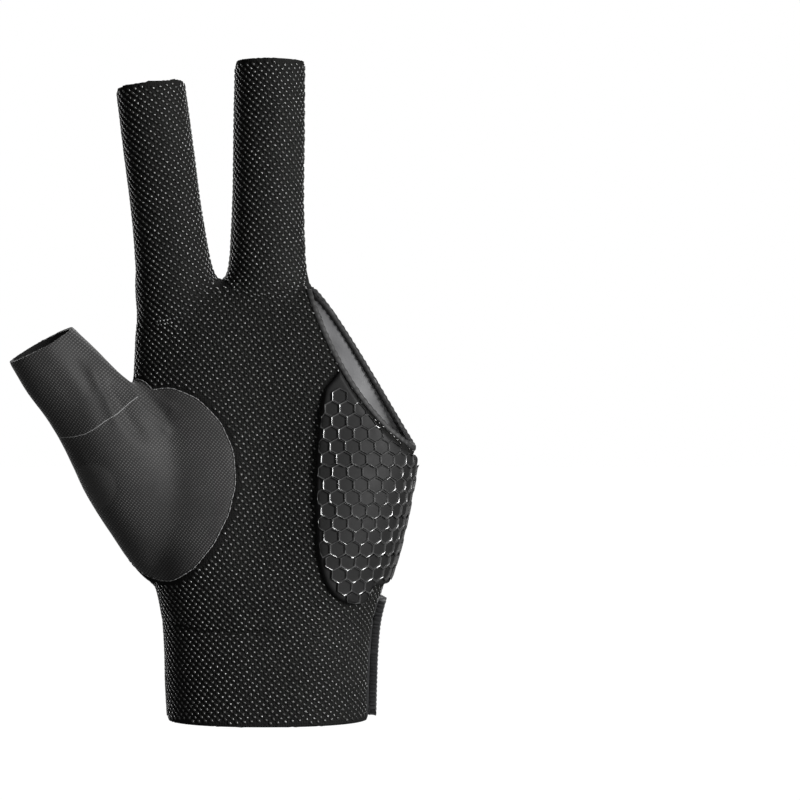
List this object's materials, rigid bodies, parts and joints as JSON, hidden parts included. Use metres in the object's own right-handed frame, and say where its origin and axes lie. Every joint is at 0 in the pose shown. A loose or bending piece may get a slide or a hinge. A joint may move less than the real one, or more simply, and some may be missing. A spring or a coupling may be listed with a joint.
{
  "type": "billiard glove",
  "caption": "Open-tipped glove for the bridge hand, with mesh palm, smooth stretch back, hexagon gel pad, slanted opening for the outer fingers and a wrist closing strap.",
  "frame": {"origin": "centre of the wrist opening, in the plane of the cuff's hem", "axes": "+Z along the fingers, -Y out of the palm, -X towards the thumb, +X towards the little finger"},
  "size_m": [0.1176, 0.0488, 0.1925],
  "materials": {
    "palm_mesh": "knit mesh with small glossy raised nubs",
    "stretch_fabric": "smooth stretch fabric with a soft sheen",
    "thumb_twill": "fine matte twill",
    "gel": "soft glossy rubber",
    "strap_fabric": "matte brushed fabric",
    "edge_tape": "matte ribbed tape"
  },
  "bodies": {
    "root": {"palm_panel": "palm_mesh", "back_panel": "stretch_fabric", "cuff_back": "stretch_fabric", "thumb_sleeve": "thumb_twill", "gel_pad": "gel", "wrist_strap": "strap_fabric", "opening_binding": "edge_tape"}
  },
  "joints": []
}
